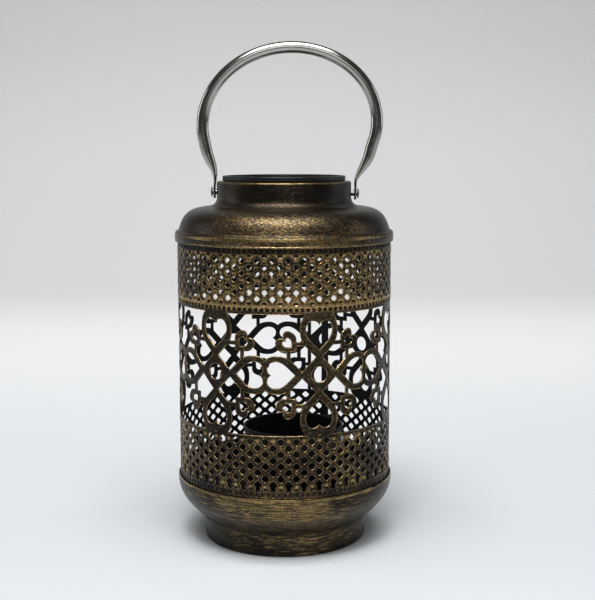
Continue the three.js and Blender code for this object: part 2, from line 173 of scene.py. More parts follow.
def sheet_profile(line, thickness, cap=4):
    """A line of radius and height given thickness to its left, with its free ends rounded."""
    line = np.array(line, float)
    along = np.gradient(line, axis=0)
    along /= np.linalg.norm(along, axis=1)[:, None]
    left = np.stack([-along[:, 1], along[:, 0]], 1)
    back = line + left * thickness
    back[line[:, 0] < 1e-6, 0] = 0
    turn = np.linspace(0, math.pi, cap + 2)[1:-1, None]
    middle = (line[-1] + back[-1]) / 2
    end = middle - np.cos(turn) * left[-1] * thickness / 2
    end = end + np.sin(turn) * along[-1] * thickness / 2
    start = []
    if line[0, 0] > 1e-6:
        middle = (line[0] + back[0]) / 2
        start = middle + np.cos(turn) * left[0] * thickness / 2
        start = (start - np.sin(turn) * along[0] * thickness / 2).tolist()
    return line.tolist() + end.tolist() + back[::-1].tolist() + start


def turned(profile, sides=ROUND):
    """Vertices and faces of a closed profile of radius and height turned about +Z."""
    vertices, rings = [], []
    for r, z in profile:
        if r < 1e-6:
            rings.append([len(vertices)] * sides)
            vertices.append((0, 0, z))
            continue
        rings.append(list(range(len(vertices), len(vertices) + sides)))
        for i in range(sides):
            a = 2 * math.pi * i / sides
            vertices.append((r * math.cos(a), r * math.sin(a), z))
    faces = []
    count = len(profile)
    closed = profile[0][0] > 1e-6
    for k in range(count if closed else count - 1):
        low, high = rings[k], rings[(k + 1) % count]
        for i in range(sides):
            j = (i + 1) % sides
            face = [low[i], low[j], high[j], high[i]]
            face = [v for n, v in enumerate(face) if v != face[n - 1]]
            if len(face) > 2:
                faces.append(face)
    return vertices, faces


def on_pivot(points):
    """Points in the bail's own frame, moved to its place on the neck."""
    p = np.array(points, float)
    c, s = math.cos(PIVOT_TILT), math.sin(PIVOT_TILT)
    x = p[:, 0] * c + p[:, 2] * s
    z = -p[:, 0] * s + p[:, 2] * c + PIVOT_HEIGHT
    return np.stack([x, p[:, 1], z], 1)


# ---- Materials ----


class Nodes:
    """A short way to write a node material."""

    def __init__(self, name):
        self.material = bpy.data.materials.new(name)
        self.material.use_nodes = True
        self.tree = self.material.node_tree
        self.tree.nodes.clear()
        self.output = self.tree.nodes.new("ShaderNodeOutputMaterial")
        self.shader = self.tree.nodes.new("ShaderNodeBsdfPrincipled")
        self.tree.links.new(self.shader.outputs[0], self.output.inputs[0])
        self.place = self.tree.nodes.new("ShaderNodeTexCoord").outputs["Object"]

    def set(self, socket, value):
        if isinstance(value, bpy.types.NodeSocket):
            self.tree.links.new(value, self.shader.inputs[socket])
        else:
            self.shader.inputs[socket].default_value = value

    def node(self, kind, inputs, output=0, **settings):
        node = self.tree.nodes.new(kind)
        for key, value in settings.items():
            setattr(node, key, value)
        for key, value in inputs.items():
            if isinstance(value, bpy.types.NodeSocket):
                self.tree.links.new(value, node.inputs[key])
            else:
                node.inputs[key].default_value = value
        return node.outputs[output]

    def math(self, operation, a, b=0.0):
        return self.node("ShaderNodeMath", {0: a, 1: b}, operation=operation)

    def noise(self, scale, detail=4.0, roughness=0.55, offset=(0, 0, 0)):
        """Noise over the object's own coordinates, with a scale for each axis, in 1/m."""
        placed = self.node(
            "ShaderNodeMapping", {"Vector": self.place, "Scale": scale, "Location": offset}
        )
        return self.node(
            "ShaderNodeTexNoise",
            {
                "Vector": placed,
                "Scale": 1.0,
                "Detail": detail,
                "Roughness": roughness,
            },
        )

    def ramp(self, value, low, high, to_low=0.0, to_high=1.0):
        return self.node(
            "ShaderNodeMapRange",
            {0: value, 1: low, 2: high, 3: to_low, 4: to_high},
            interpolation_type="SMOOTHSTEP",
        )

    def mix(self, factor, a, b):
        mixed = self.tree.nodes.new("ShaderNodeMix")
        mixed.data_type = "RGBA"
        for key, value in ((0, factor), (6, a), (7, b)):
            if isinstance(value, bpy.types.NodeSocket):
                self.tree.links.new(value, mixed.inputs[key])
            else:
                mixed.inputs[key].default_value = value
        return mixed.outputs[2]

    def attribute(self, name):
        return self.node("ShaderNodeAttribute", {}, "Fac", attribute_name=name)

    def bump(self, height, strength, distance):
        inputs = {"Height": height, "Strength": strength, "Distance": distance}
        return self.node("ShaderNodeBump", inputs, "Normal")


IRON = (0.012, 0.0102, 0.0088, 1)
IRON_WARM = (0.028, 0.0212, 0.0135, 1)
GOLD = (0.54, 0.37, 0.16, 1)
GOLD_DARK = (0.1, 0.068, 0.032, 1)
BLACK = (0.0035, 0.0042, 0.0046, 1)
BLACK_DUSTY = (0.009, 0.0105, 0.011, 1)
STEEL_DARK = (0.36, 0.35, 0.32)
STEEL_LIGHT = (0.43, 0.42, 0.39)
FRONT_DEPTHS = (-0.05, -0.022)  # from the object's front towards its middle, in metres
# More gold at the front and less at the sides: a painted sheen and painted shade, not wear.
FRONT_SHEEN_AND_SIDE_SHADE = (0.045, -0.035)
# Extra gold along the crests: partly real rub, partly a painted highlight along these edges.
CREST_RUB_AND_HIGHLIGHT = 0.11
BOWL_CRESTS = ((30.2, 1.0),)
DOME_CRESTS = ((144.6, 1.0), (141.7, 0.5), (168.4, 0.9))


def aged_iron(name, rub, stroke_scale, speck_share, crests=(), relief=False):
    """Dark brown painted iron with antique gold rubbed on in fine strokes and specks. Gold is
    added towards the front and taken away towards the sides as a painted sheen and painted shade,
    and laid on more thickly along the crests as a painted highlight over their real rub. A crest
    is a height in millimetres and half its width. With relief, the mesh's own attribute of that
    name says where gold is rubbed on, and the painted front sheen counts there too."""
    m = Nodes(name)
    broad = m.noise((34, 34, 60), 3.0, 0.6)
    streak = m.noise(stroke_scale, 5.0, 0.66, offset=(3, 1, 7))
    speck = m.noise((2100, 2100, 2600), 4.0, 0.7, offset=(5, 5, 5))
    wear = m.math("MULTIPLY", streak, 0.82 - speck_share)
    wear = m.math("ADD", wear, m.math("MULTIPLY", broad, 0.18))
    wear = m.math("ADD", wear, m.math("MULTIPLY", speck, speck_share))
    depth = m.node("ShaderNodeSeparateXYZ", {0: m.place}, 1)
    # Painted sheen towards the front and painted shade towards the sides, added to the gold rub.
    front = m.ramp(depth, *FRONT_DEPTHS, *FRONT_SHEEN_AND_SIDE_SHADE)
    wear = m.math("ADD", wear, front)
    height = m.node("ShaderNodeSeparateXYZ", {0: m.place}, 2)
    # Along each crest, gold is laid on more thickly as a painted edge highlight over the real rub.
    for level, half in crests:
        off = m.math("ABSOLUTE", m.math("SUBTRACT", height, level * MM))
        wear = m.math("ADD", wear, m.ramp(off, half * MM / 3, half * MM, CREST_RUB_AND_HIGHLIGHT, 0.0))
    # The mask holds the real gold rub together with the painted sheen, shade and crest highlights.
    mask = m.ramp(wear, 0.48 - rub, 0.7 - rub)
    if relief:
        raised = m.attribute("relief")
        rub_and_front_sheen = m.math("ADD", raised, m.math("MULTIPLY", m.math("SUBTRACT", broad, 0.5), 0.9))
        # The painted front sheen counts double on the sleeve's relief.
        rub_and_front_sheen = m.math("ADD", rub_and_front_sheen, m.math("MULTIPLY", front, 2.0))
        rub_and_front_sheen = m.math("ADD", rub_and_front_sheen, m.math("MULTIPLY", m.math("SUBTRACT", speck, 0.5), 1.1))
        edges = m.ramp(rub_and_front_sheen, 0.4, 1.0)
        mask = m.math("MAXIMUM", m.math("MULTIPLY", mask, m.ramp(raised, -0.2, 0.4)), edges)
    base = m.mix(m.ramp(broad, 0.35, 0.65), IRON, IRON_WARM)
    gilt = m.mix(m.ramp(speck, 0.38, 0.62), GOLD_DARK, GOLD)
    m.set("Base Color", m.mix(mask, base, gilt))
    m.set("Metallic", m.ramp(mask, 0.0, 1.0, 0.85, 1.0))
    rough = m.math("ADD", m.ramp(mask, 0.0, 1.0, 0.3, 0.22), m.math("MULTIPLY", speck, 0.14))
    m.set("Roughness", rough)
    grain = m.math("ADD", m.math("MULTIPLY", streak, 0.6), m.math("MULTIPLY", speck, 0.5))
    grain = m.math("ADD", grain, m.math("MULTIPLY", mask, 0.2))
    m.set("Normal", m.bump(grain, 0.4, 0.0002))
    m.set("Specular IOR Level", 0.45)
    return m.material


def black_paint(name, roughness, coat):
    """Black enamel with a little orange peel, dust and fine rubbing."""
    m = Nodes(name)
    peel = m.noise((900, 900, 900), 2.0)
    rub = m.noise((60, 60, 900), 4.0, 0.6, offset=(2, 2, 2))
    dust = m.noise((70, 70, 70), 5.0, 0.65)
    m.set("Base Color", m.mix(m.ramp(dust, 0.45, 0.85), BLACK, BLACK_DUSTY))
    dull = m.math("ADD", rub, dust)
    m.set("Roughness", m.ramp(dull, 0.7, 1.3, roughness - 0.05, roughness + 0.14))
    m.set("Coat Weight", coat)
    m.set("Coat Roughness", 0.25)
    m.set("Specular IOR Level", 0.3)
    m.set("Normal", m.bump(m.math("ADD", peel, m.math("MULTIPLY", rub, 0.5)), 0.2, 0.00012))
    return m.material


def satin_steel(name, tone):
    """Brushed stainless steel, drawn along the tube, with faint rub marks."""
    m = Nodes(name)
    cloud = m.noise((70, 70, 70), 3.0, 0.5)
    grain = m.noise((2500, 2500, 380), 3.0, 0.65, offset=(1, 2, 3))
    dark, light = ([tone * c for c in colour] + [1] for colour in (STEEL_DARK, STEEL_LIGHT))
    m.set("Base Color", m.mix(m.ramp(cloud, 0.35, 0.7), dark, light))
    m.set("Metallic", 1.0)
    m.set("Roughness", m.ramp(m.math("ADD", grain, cloud), 0.7, 1.3, 0.12, 0.2))
    m.set("Normal", m.bump(grain, 0.05, 0.00005))
    return m.material


iron_bowl = aged_iron("aged_iron_turned", 0.0, (150, 150, 1700), 0.12, BOWL_CRESTS)
iron_dome = aged_iron("aged_iron_spun", -0.02, (700, 700, 1500), 0.4, DOME_CRESTS)
iron_pierced = aged_iron("aged_iron_pierced", -0.045, (500, 500, 1200), 0.3, relief=True)
inside_black = black_paint("smoked_black", 0.6, 0.0)
enamel = black_paint("black_enamel", 0.38, 0.06)
steel = satin_steel("satin_steel", 1.0)
# The rivets' steel is toned down to 0.45 as painted shade on them, not a duller finish.
shade_darkened_steel = satin_steel("shade_darkened_steel", 0.45)

# ---- Pierced sleeve, drawn flat for half a motif, mirrored, repeated and rolled ----


def heart(values, pieces=9):
    """A heart's outline with its tip on the left, counter-clockwise."""
    tip, flank, widest, half_width, end, lobe, cusp = values
    ahead = 0.35 * (widest - tip - flank)
    rise = 0.55 * (end - widest)
    corner = (tip + flank, flank)
    line = [[tip, 0], list(corner)]
    side = (widest, half_width)
    leaving = (corner[0] + ahead, flank + ahead)
    line += bezier([corner, leaving, (widest - ahead, half_width), side], pieces)
    reaching = (end, lobe + 0.5 * (half_width - lobe))
    line += bezier([side, (widest + rise, half_width), reaching, (end, lobe)], pieces)
    line += bezier([(end, lobe), (end, 0.3 * lobe), (cusp, 0)], max(pieces // 2, 3))
    upper = np.array(line)
    lower = upper[1:-1] * [1, -1]
    return np.vstack([upper[:1], lower, upper[1:][::-1]])


def rotated(points, angle):
    c, s = math.cos(angle), math.sin(angle)
    return np.asarray(points) @ np.array([[c, s], [-s, c]])


def rectangle(x0, y0, x1, y1):
    return np.array([(x0, y0), (x1, y0), (x1, y1), (x0, y1)], float)


def rounded_polygon(corners, radius, steps=3):
    """A convex polygon with its corners rounded."""
    corners = np.asarray(corners, float)
    points = []
    for i, corner in enumerate(corners):
        before = corners[i - 1] - corner
        after = corners[(i + 1) % len(corners)] - corner
        before /= np.linalg.norm(before)
        after /= np.linalg.norm(after)
        half = math.acos(float(np.clip(before @ after, -1, 1))) / 2
        cut = radius / math.tan(half)
        a, b = corner + before * cut, corner + after * cut
        points.append(a)
        points += bezier([a, corner, b], steps - 1)
    return np.array(points)


def hole(x, y, size=HOLE):
    """A lattice hole, a diamond with rounded corners."""
    a, b = size
    return rounded_polygon([(x - a, y), (x, y - b), (x + a, y), (x, y + b)], HOLE_CORNER, 4)


def keyhole(x, y):
    """A lattice hole that runs on down into a slot."""
    a, b = HOLE
    slot = SLOT_HALF_WIDTH
    shoulder = y - b * (1 - slot / a)
    foot = y - SLOT_DEPTH
    corners = [(x - slot, shoulder), (x - slot, foot), (x + slot, foot), (x + slot, shoulder)]
    corners += [(x + a, y), (x, y + b), (x - a, y)]
    return np.array(corners)


def inside(polygon, points):
    """Whether each point is inside the polygon."""
    x, y = points[:, 0], points[:, 1]
    x0, y0 = polygon[:, 0], polygon[:, 1]
    x1, y1 = np.roll(x0, -1), np.roll(y0, -1)
    found = np.zeros(len(points), bool)
    box = (x > x0.min()) & (x < x0.max()) & (y > y0.min()) & (y < y0.max())
    px, py = x[box][:, None], y[box][:, None]
    crosses = (y0 > py) != (y1 > py)
    with np.errstate(divide="ignore", invalid="ignore"):
        at = x0 + (py - y0) * (x1 - x0) / (y1 - y0)
    found[box] = (crosses & (px < at)).sum(1) % 2 == 1
    return found


def scroll_shapes():
    """Every plate of the scroll that reaches into half a motif, as its outline and its hole."""
    turn = np.linspace(0, 2 * math.pi, 29)[:-1]
    eye = 3.5 * np.stack([np.cos(turn), np.sin(turn)], 1)
    reach = 9.3
    shapes = [(np.array([(-reach, 0), (0, -reach), (reach, 0), (0, reach)]), eye)]
    side = [heart(v) for v in SIDE_HEART]
    shapes.append((side[0], side[1]))
    shapes.append(tuple(np.array([PITCH, 0]) - s for s in side))
    shapes.append((np.array([(HALF - 2.7, 0), (HALF, -2.2), (HALF + 2.7, 0), (HALF, 2.2)]), None))
    for up in (1, -1):
        shapes.append(tuple(rotated(heart(v), up * math.pi / 2) for v in UPRIGHT_HEART))
        diagonal = up * math.pi / 4
        shapes.append(tuple(rotated(heart(v, 6), diagonal) for v in SMALL_HEART))
        for stem in (rectangle(12.8, 6.2, 14.6, 10.4), rectangle(6.2, 12.8, 10.4, 14.6)):
            shapes.append((stem * [1, up], None))
    return [(o + [0, MIDDLE], None if h is None else h + [0, MIDDLE]) for o, h in shapes]


def lattice_holes():
    """The holes of both bands that reach into half a motif."""
    holes = []
    for k in range(LOWER_ROWS):
        y = LOWER_ROW + k * ROW
        start = 0 if k % 2 == 0 else -CELL / 2
        for x in start + CELL * np.arange(6):
            if x - HOLE[0] < HALF:
                holes.append(keyhole(x, y) if k == 0 else hole(x, y))
    for k in range(UPPER_ROWS):
        y = UPPER_ROW - k * ROW
        start = 0 if k % 2 == 0 else -CELL / 2
        for x in start + CELL * np.arange(6):
            if x - HOLE[0] < HALF:
                holes.append(hole(x, y, UPPER_HOLE))
    return holes


def pits():
    """The shallow pressed pits of half a motif: tick rows and the arches between keyholes."""
    found = []
    for low, high in TICK_ROWS:
        for x in TICK * np.arange(11):
            if x - TICK_HALF_WIDTH < HALF:
                tick = rectangle(x - TICK_HALF_WIDTH, low, x + TICK_HALF_WIDTH, high)
                found.append(rounded_polygon(tick, 0.25))
    for low, high in ARCH_PIT_ROWS:
        for x in CELL / 2 + CELL * np.arange(4):
            if x - 1 < HALF:
                arch = rectangle(x - ARCH_PIT_HALF_WIDTH, low, x + ARCH_PIT_HALF_WIDTH, high)
                found.append(rounded_polygon(arch, 0.5))
    return found


def shrunk(polygon, by):
    """A polygon drawn in towards its middle by the same amount on every side."""
    middle = (polygon.max(0) + polygon.min(0)) / 2
    half = (polygon.max(0) - polygon.min(0)) / 2
    return middle + (polygon - middle) * (half - by) / half


class Flat:
    """The flat half motif: where there is metal, and its edges."""

    def __init__(self):
        self.shapes = scroll_shapes()
        self.bands = [
            rectangle(-CELL, SLEEVE_BOTTOM, PITCH, SCROLL_BOTTOM),
            rectangle(-CELL, SCROLL_TOP, PITCH, SLEEVE_TOP),
        ]
        self.holes = lattice_holes()

    def metal(self, points):
        """Whether there is metal at each point."""
        found = np.zeros(len(points), bool)
        for outline, gap in self.shapes:
            here = inside(outline, points)
            if gap is not None:
                here &= ~inside(gap, points)
            found |= here
        band = np.zeros(len(points), bool)
        for outline in self.bands:
            band |= inside(outline, points)
        for gap in self.holes:
            band &= ~inside(gap, points)
        return found | band

    def outlines(self):
        """Every outline that the metal's edges follow somewhere."""
        for outline, gap in self.shapes:
            yield outline
            if gap is not None:
                yield gap
        yield from self.bands
        yield from self.holes


def triangulated(points, edges):
    """Delaunay triangles of points with fixed edges. Returns points, triangles and, for each
    given point, its place in the result."""
    places = [Vector(p) for p in points]
    got = delaunay_2d_cdt(places, [tuple(e) for e in edges], [], 0, 1e-5, True)
    vertices = np.array([tuple(v) for v in got[0]])
    place = np.full(len(points), -1)
    for i, given in enumerate(got[3]):
        for g in given:
            place[g] = i
    return vertices, np.array([list(f) for f in got[2]]), place


def in_tile(points):
    """Whether each point is inside half a motif."""
    x, y = points[:, 0], points[:, 1]
    return (x > 0) & (x < HALF) & (y > SLEEVE_BOTTOM) & (y < SLEEVE_TOP)


def metal_triangles(flat, points, edges):
    """Triangles of the metal inside half a motif, as places in the given points."""
    vertices, triangles, where = triangulated(points, edges)
    middles = vertices[triangles].mean(1)
    kept = triangles[in_tile(middles) & flat.metal(middles)]
    given = np.full(len(vertices), -1)
    given[where] = np.arange(len(points))
    kept = given[kept]
    return kept[(kept >= 0).all(1)]


def outline_segments(flat):
    """The metal's edges inside half a motif, and where the mirror lines cut through the metal."""
    points, edges = [], []
    for outline in [*flat.outlines(), rectangle(0, SLEEVE_BOTTOM, HALF, SLEEVE_TOP)]:
        start = len(points)
        points += outline.tolist()
        edges += [(start + i, start + (i + 1) % len(outline)) for i in range(len(outline))]
    vertices, triangles, _ = triangulated(points, edges)
    middles = vertices[triangles].mean(1)
    kept = triangles[in_tile(middles) & flat.metal(middles)]
    seen = {}
    for a, b, c in kept:
        for i, j in ((a, b), (b, c), (c, a)):
            key = (min(i, j), max(i, j))
            seen[key] = None if key in seen else (i, j)
    segments = [vertices[list(pair)] for pair in seen.values() if pair is not None]
    free, cut = [], []
    for s in segments:
        on_mirror = any(abs(s[0, 0] - x) < 1e-4 and abs(s[1, 0] - x) < 1e-4 for x in (0, HALF))
        (cut if on_mirror else free).append(s)
    return free, cut


def divided(segments, longest):
    """The same segments in steps no longer than the given length."""
    out = []
    for a, b in segments:
        count = max(1, math.ceil(np.linalg.norm(b - a) / longest))
        steps = a + (b - a) * (np.arange(count + 1) / count)[:, None]
        out += [(steps[i], steps[i + 1]) for i in range(count)]
    return out


EDGE_STEP = 0.9  # longest piece of the metal's edge
SAMPLE_STEP = 0.12
MIRROR_MARGIN = 3  # samples this near a mirror line count on its other side too
LINES_BESIDE_EDGES = (0.16, 0.4, 0.78)
LINE_SPACING = 0.3
GRID = 0.85


def edge_distance(points, walls):
    """A function that tells how far a point is from the metal's nearest edge."""
    samples = []
    for i, j in walls:
        a, b = np.array(points[i]), np.array(points[j])
        count = max(1, math.ceil(np.linalg.norm(b - a) / SAMPLE_STEP))
        samples += (a + (b - a) * (np.arange(count + 1) / count)[:, None]).tolist()
    samples = np.array(samples)
    low = samples[samples[:, 0] < MIRROR_MARGIN] * [-1, 1]
    high = [PITCH, 0] + samples[samples[:, 0] > HALF - MIRROR_MARGIN] * [-1, 1]
    samples = np.vstack([samples, low, high])
    tree = kdtree.KDTree(len(samples))
    for i, s in enumerate(samples):
        tree.insert((s[0], s[1], 0), i)
    tree.balance()
    return lambda p: tree.find((p[0], p[1], 0))[2]


def inward_normals(points, walls, rim):
    """For each point of the edge, the sum of its edges' directions into the metal."""
    normals = np.zeros((rim, 2))
    for i, j in walls:
        a, b = np.array(points[i]), np.array(points[j])
        along = (b - a) / np.linalg.norm(b - a)
        left = np.array([-along[1], along[0]])
        for n in (i, j):
            normals[n] += left
    return normals


def surface(y, away, pit_levels, rim):
    """Each point's height over the sleeve's radius, and how much gold is rubbed on there."""
    band = np.clip(np.maximum(SCROLL_BOTTOM - 1.1 - y, y - SCROLL_TOP - 1.1) / 0.5, 0, 1)
    plain = np.clip(np.maximum(PLAIN_BELOW - y, y - PLAIN_ABOVE) / 0.3, 0, 1)
    band *= 1 - plain
    scroll, woven = np.interp(away, *SCROLL_LEVEL), np.interp(away, *WOVEN_LEVEL)
    level = scroll * (1 - band) * (1 - plain) + woven * band
    level[:rim][plain[:rim] > 0.5] = 0
    scroll, woven = np.interp(away, *SCROLL_WEAR), np.interp(away, *WOVEN_WEAR)
    wear = scroll * (1 - band) * (1 - plain) + woven * band + 0.2 * plain
    for n, h in pit_levels.items():
        level[n] = h
        wear[n] = 0.55 if h == 0 else -1
    return level, wear


def half_motif():
    """Points, heights and faces of half a motif: the outer face, the inner face and the edges."""
    flat = Flat()
    free, cut = outline_segments(flat)
    free, cut = divided(free, EDGE_STEP), divided(cut, EDGE_STEP)
    index, points = {}, []

    def place(p):
        x = 0.0 if abs(p[0]) < 1e-4 else HALF if abs(p[0] - HALF) < 1e-4 else float(p[0])
        key = (round(x, 3), round(float(p[1]), 3))
        if key not in index:
            index[key] = len(points)
            points.append((x, float(p[1])))
        return index[key]

    walls = [(place(a), place(b)) for a, b in free]
    walls = [w for w in walls if w[0] != w[1]]
    sides = [(place(a), place(b)) for a, b in cut]
    rim = len(points)

    distance = edge_distance(points, walls)

    # Pits, each with an upper and a lower outline.
    fixed = list(walls) + list(sides)
    pit_levels = {}
    pit_boxes = []
    for pit in pits():
        rings = []
        for ring, level in ((pit, 0.0), (shrunk(pit, PIT_SLOPE), PIT_LEVEL)):
            clipped = np.clip(ring, [0, -1e9], [HALF, 1e9])
            ids = []
            for p in clipped:
                n = place(p)
                if not ids or ids[-1] != n:
                    ids.append(n)
                pit_levels[n] = level
            rings.append(ids)
            fixed += [(ids[i - 1], ids[i]) for i in range(len(ids)) if ids[i - 1] != ids[i]]
        pit_boxes.append((pit.min(0) - 0.1, pit.max(0) + 0.1))

    def in_pit(p):
        return any(a[0] < p[0] < b[0] and a[1] < p[1] < b[1] for a, b in pit_boxes)

    # Points inside the metal, in lines beside its edges and in a grid.
    normals = inward_normals(points, walls, rim)
    near = {}

    def add(p, room):
        if not (-1e-6 <= p[0] <= HALF + 1e-6):
            return
        cell = (round(p[0] / room), round(p[1] / room))
        for dx in (-1, 0, 1):
            for dy in (-1, 0, 1):
                for q in near.get((cell[0] + dx, cell[1] + dy), ()):
                    if math.dist(p, q) < room * 0.6:
                        return
        near.setdefault(cell, []).append(tuple(p))
        place(p)

    for offset in LINES_BESIDE_EDGES:
        for n in range(rim):
            if np.linalg.norm(normals[n]) < 1e-6:
                continue
            direction = normals[n] / np.linalg.norm(normals[n])
            start = np.array(points[n])
            if start[0] in (0.0, HALF):
                direction = np.array([0, 1 if direction[1] > 0 else -1])
            p = start + direction * offset
            if distance(p) > offset * 0.93 and not in_pit(p):
                add(p, LINE_SPACING)
    rows = int((SLEEVE_TOP - SLEEVE_BOTTOM) / (GRID * 0.866)) + 1
    spots = [
        (min(i * GRID + (j % 2) * GRID / 2, HALF), SLEEVE_BOTTOM + j * GRID * 0.866)
        for i in range(int(HALF / GRID) + 2)
        for j in range(rows)
    ]
    spots = np.array(spots)
    spots = spots[flat.metal(np.clip(spots, [1e-4, -1e9], [HALF - 1e-4, 1e9]))]
    for p in spots:
        if distance(p) > 1.05 and not in_pit(p):
            add(p, GRID)

    flat_points = np.array(points)
    away = np.array([distance(p) for p in flat_points])
    level, wear = surface(flat_points[:, 1], away, pit_levels, rim)
    outer = metal_triangles(flat, points, fixed)
    inner = metal_triangles(flat, points[:rim], list(walls) + list(sides))
    return flat_points, level, wear, outer, inner, walls, rim


WELDS_PER_MM = 500  # vertices that round to the same step of the sheet become one
WELD_SHIFT = 0.00037  # keeps round numbers away from the steps' limits


def make_sleeve():
    """The whole sleeve: half motifs beside each other, joined and rolled."""
    points, level, wear, outer, inner, walls, rim = half_motif()
    xs, ys, hs, ws, faces = [], [], [], [], []
    kinds = []
    total = 0
    halves = [(FIRST_MOTIF - PITCH - CUT_SHIFT, 1, (HALF + CUT_SHIFT) / HALF)]
    for i in range(MOTIFS):
        halves += [(FIRST_MOTIF + i * PITCH, -1, 1), (FIRST_MOTIF + i * PITCH, 1, 1)]
    count = len(points)
    for middle, side, stretch in halves:
        across = middle + side * stretch * points[:, 0]
        xs.append(np.concatenate([across, across[:rim]]))
        ys.append(np.concatenate([points[:, 1], points[:rim, 1]]))
        hs.append(np.concatenate([SLEEVE_RADIUS + level, np.full(rim, SLEEVE_INSIDE)]))
        ws.append(np.concatenate([wear, np.full(rim, -1.0)]))
        front = outer if side > 0 else outer[:, ::-1]
        rear = inner[:, ::-1] if side > 0 else inner
        edge = [(i, j) if side > 0 else (j, i) for i, j in walls]
        faces += (front + total).tolist()
        kinds += [0] * len(front)
        faces += (rear + total + count).tolist()
        kinds += [1] * len(rear)
        faces += [(total + j, total + i, total + count + i, total + count + j) for i, j in edge]
        kinds += [0] * len(edge)
        total += count + rim
    x, y, r, w = (np.concatenate(v) for v in (xs, ys, hs, ws))
    within = r < SLEEVE_INSIDE + 1e-6
    steps = [np.round((v + WELD_SHIFT) * WELDS_PER_MM) for v in (x, y)]
    key = np.stack([*steps, within], 1)
    _, first, back = np.unique(key, axis=0, return_index=True, return_inverse=True)
    back = back.ravel()
    x, y, r, w = x[first], y[first], r[first], w[first]
    kept, kept_kinds = [], []
    for face, kind in zip(faces, kinds):
        face = [int(back[v]) for v in face]
        if len(set(face)) == len(face):
            kept.append(face)
            kept_kinds.append(kind)
    turn = x / SLEEVE_RADIUS
    vertices = np.stack([r * np.sin(turn), -r * np.cos(turn), y], 1)
    piece = link("pierced_sleeve_scroll", vertices, kept, iron_pierced, 38, {"relief": w})
    piece.data.materials.append(inside_black)
    piece.data.polygons.foreach_set("material_index", kept_kinds)
    return piece


sleeve = make_sleeve()
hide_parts("pierced_sleeve")
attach(sleeve, "lantern")


def make_seam():
    """The plain strips where the rolled sheet's ends lap, with soft edges."""
    vertices, faces, kinds = [], [], []
    for from_x, to_x, low, high in LAPS:
        across = np.linspace(from_x, to_x, 11)
        edge = np.minimum(across - from_x, to_x - across)
        outer = LAP_OUTSIDE - 0.25 * np.maximum(0, 1 - edge / 0.7) ** 2
        ring_x = np.concatenate([across, across[::-1]])
        ring_r = np.concatenate([outer, np.full(len(across), LAP_INSIDE)])
        n = len(ring_x)
        between = np.linspace(low + 1.2, high - 1.2, 40)
        heights = [low, low + 0.25, *between, high - 0.25, high]
        start = len(vertices)
        for k, z in enumerate(heights):
            drop = 0.22 if k in (0, len(heights) - 1) else 0
            r = ring_r - drop * (np.arange(n) < len(across))
            turn = ring_x / SLEEVE_RADIUS
            vertices += np.stack([r * np.sin(turn), -r * np.cos(turn), np.full(n, z)], 1).tolist()
        for k in range(len(heights) - 1):
            for i in range(n):
                j = (i + 1) % n
                a = start + k * n
                faces.append((a + i, a + j, a + n + j, a + n + i))
                kinds.append(1 if i >= len(across) else 0)
        faces.append(tuple(start + i for i in range(n))[::-1])
        faces.append(tuple(start + (len(heights) - 1) * n + i for i in range(n)))
        kinds += [1, 1]
    piece = link("pierced_sleeve_seam", vertices, faces, iron_bowl)
    piece.data.materials.append(inside_black)
    piece.data.polygons.foreach_set("material_index", kinds)
    return piece


seam = make_seam()
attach(seam, "lantern")

# ---- Turned pieces ----


def blacken_inside(piece, first):
    """The pressed sheet is black on its inner face, which is the second half of its profile."""
    piece.data.materials.append(inside_black)
    for face in list(piece.data.polygons)[first:]:
        face.material_index = 1


def piece_from(name, profile, material, replaced, body, offset=0.0, sides=ROUND):
    """A turned piece in place of a CAD node, its axis moved along x by the offset."""
    vertices, faces = turned(profile, sides)
    vertices = [(x + offset, y, z) for x, y, z in vertices]
    piece = link(name, vertices, faces, material)
    if material is not enamel:
        blacken_inside(piece, len(profile) // 2 * sides)
    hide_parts(replaced)
    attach(piece, body)
    return piece


def base_profile():
    line = [[0, 0], [12, 0], [24, 0], [33, 0], [37.5, 0]]
    line += bezier([(37.5, 0), (FOOT_RADIUS, 0), (FOOT_RADIUS, 1.0)], 6)
    line += [[FOOT_RADIUS, 4.5], [FOOT_RADIUS, 7.2]]
    line += bezier([(FOOT_RADIUS, 7.2), (FOOT_RADIUS - 0.1, 9.4), (39.0, 10.4)], 4)
    line += bezier([(39.0, 10.4), (42.2, 14.4), (49.9, 18.8), (BOWL_RADIUS, 27.2)], 20)
    line += bezier([(BOWL_RADIUS, 27.2), (BOWL_RADIUS + 0.25, 29), (BOWL_RADIUS + 0.02, 30.5)], 5)
    return sheet_profile(line, SHEET)


piece_from("base_dish_bowl", base_profile(), iron_bowl, "base_dish", "lantern")


def dome_profile():
    line = [[50.95, 141.25]]
    line += bezier([(50.95, 141.25), (51.3, 141.7), (50.9, 142.1)], 4)
    line += bezier([(50.9, 142.1), (51.4, 143.6), (50.95, 145.1)], 7)
    line += bezier([(50.95, 145.1), (50.75, 145.95), (49.9, 145.95)], 5)
    line += [[49.5, 146.25]]
    line += bezier([(49.5, 146.25), (48, 149.8), (47.6, 156.2), (37, 156.8)], 24)
    line += bezier([(37, 156.8), (NECK_RADIUS, 157.2), (NECK_RADIUS, 161.6)], 12)
    line += [[NECK_RADIUS, 163.6], [NECK_RADIUS, 165.6], [NECK_RADIUS, NECK_TOP - 1.1]]
    line += bezier(
        [(NECK_RADIUS, NECK_TOP - 1.1), (NECK_RADIUS, NECK_TOP), (NECK_RADIUS - 1.1, NECK_TOP)], 5
    )
    line += [[29.2, NECK_TOP], [27.9, NECK_TOP]]
    return sheet_profile(line, SHEET)


piece_from(
    "dome_and_neck_spun", dome_profile(), iron_dome, "dome_and_neck", "lantern"
)


